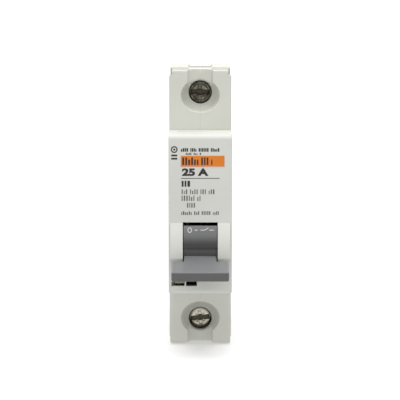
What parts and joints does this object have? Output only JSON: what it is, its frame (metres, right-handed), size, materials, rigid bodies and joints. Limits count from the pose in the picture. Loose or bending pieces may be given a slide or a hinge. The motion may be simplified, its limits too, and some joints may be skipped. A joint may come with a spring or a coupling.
{
  "type": "circuit breaker",
  "caption": "Single-pole modular circuit breaker with a T-shaped toggle, two recessed terminal screws and a clip for a 35 mm rail.",
  "frame": {"origin": "centre of the bounding box in X and Y, on the plane of the lower end face", "axes": "+Z from the lower to the upper terminal, -Y towards the toggle, +Y towards the rail, X across the 18 mm module"},
  "size_m": [0.018, 0.07, 0.081],
  "materials": {
    "case_plastic": "fine matte moulded light grey",
    "cover_plastic": "fine matte moulded light grey",
    "orange_label": "satin orange film",
    "toggle_plastic": "satin moulded mid grey",
    "black_plastic": "matte",
    "beige_plastic": "matte",
    "clip_plastic": "matte moulded grey",
    "fibre": "pressed fibre board",
    "dark_ink": "pad print",
    "grey_ink": "thin pad print",
    "white_ink": "pad print",
    "zinc_steel": "zinc plated",
    "spring_steel": "drawn wire",
    "bimetal": "rolled strip",
    "nickel": "nickel plated, worn",
    "tarnished_nickel": "tarnished",
    "copper": "bare copper",
    "brass": "turned brass",
    "silver": "silver alloy"
  },
  "bodies": {
    "case": {"right_case": "case_plastic", "left_case": "case_plastic", "front_cover": "cover_plastic", "rating_label": "orange_label", "case_rivets": "zinc_steel", "toggle_pin": "zinc_steel", "toggle_spring": "spring_steel", "arm_pin": "zinc_steel", "contact_spring": "spring_steel", "fixed_contact_tip": "silver", "fixed_contact_bar": "copper", "upper_arc_runner": "zinc_steel", "lower_arc_runner": "zinc_steel", "arc_splitter_plates": "zinc_steel", "arc_chute_cheeks": "fibre", "coil_winding": "copper", "coil_bobbin": "black_plastic", "magnet_yoke": "zinc_steel", "fixed_core": "zinc_steel", "plunger_spring": "spring_steel", "trip_lever_pin": "zinc_steel", "bimetal_strip": "bimetal", "flexible_braid": "copper", "calibration_screw": "brass", "lower_terminal_plate": "copper", "upper_terminal_plate": "copper"},
    "toggle": {"toggle_handle": "toggle_plastic"},
    "link": {"drive_link": "spring_steel"},
    "moving_contact": {"contact_arm": "copper", "moving_contact_tip": "silver"},
    "release_plunger": {"plunger": "zinc_steel"},
    "release_lever": {"trip_lever": "beige_plastic"},
    "upper_screw": {"upper_terminal_screw": "tarnished_nickel"},
    "lower_screw": {"lower_terminal_screw": "nickel"},
    "upper_clamp": {"upper_clamp_cage": "zinc_steel"},
    "lower_clamp": {"lower_clamp_cage": "zinc_steel"},
    "clip": {"rail_clip": "clip_plastic"}
  },
  "joints": [
    {"name": "toggle_hinge", "type": "hinge", "parent": "case", "child": "toggle", "pos_m": [0, -0.018, 0.032], "axis": [-1, 0, 0], "range_deg": [0, 56], "deforming": ["toggle_spring"]},
    {"name": "link_hinge", "type": "hinge", "parent": "toggle", "child": "link", "pos_m": [0, -0.0196, 0.035], "axis": [-1, 0, 0], "range_deg": [-56, 0]},
    {"name": "arm_hinge", "type": "hinge", "parent": "case", "child": "moving_contact", "pos_m": [0, 0.004, 0.04315], "axis": [1, 0, 0], "range_deg": [0, 22], "deforming": ["flexible_braid", "contact_spring"]},
    {"name": "plunger_slide", "type": "slide", "parent": "case", "child": "release_plunger", "axis": [0, -1, 0], "range_m": [0, 0.0015], "stiffness_N_per_m": 200, "springref_m": -0.001, "deforming": ["plunger_spring"]},
    {"name": "trip_hinge", "type": "hinge", "parent": "case", "child": "release_lever", "pos_m": [0, -0.006, 0.027], "axis": [1, 0, 0], "range_deg": [0, 3.5]},
    {"name": "upper_screw_hinge", "type": "hinge", "parent": "case", "child": "upper_screw", "pos_m": [0, -0.003, 0.0738], "axis": [0, 1, 0], "range_deg": [0, 2250]},
    {"name": "upper_clamp_slide", "type": "slide", "parent": "case", "child": "upper_clamp", "axis": [0, -1, 0], "range_m": [0, 0.005]},
    {"name": "lower_screw_hinge", "type": "hinge", "parent": "case", "child": "lower_screw", "pos_m": [0, -0.003, 0.0072], "axis": [0, 1, 0], "range_deg": [0, 2250]},
    {"name": "lower_clamp_slide", "type": "slide", "parent": "case", "child": "lower_clamp", "axis": [0, -1, 0], "range_m": [0, 0.005]},
    {"name": "rail_clip_slide", "type": "slide", "parent": "case", "child": "clip", "axis": [0, 0, -1], "range_m": [0, 0.004]}
  ],
  "couplings": [
    {"joint": "link_hinge", "follows": "toggle_hinge", "ratio": -1},
    {"joint": "arm_hinge", "follows": "toggle_hinge", "ratio": 0.39285},
    {"joint": "trip_hinge", "follows": "plunger_slide", "rad_per_m": 39},
    {"joint": "upper_screw_hinge", "follows": "upper_clamp_slide", "rad_per_m": 7850},
    {"joint": "lower_screw_hinge", "follows": "lower_clamp_slide", "rad_per_m": 7850}
  ]
}
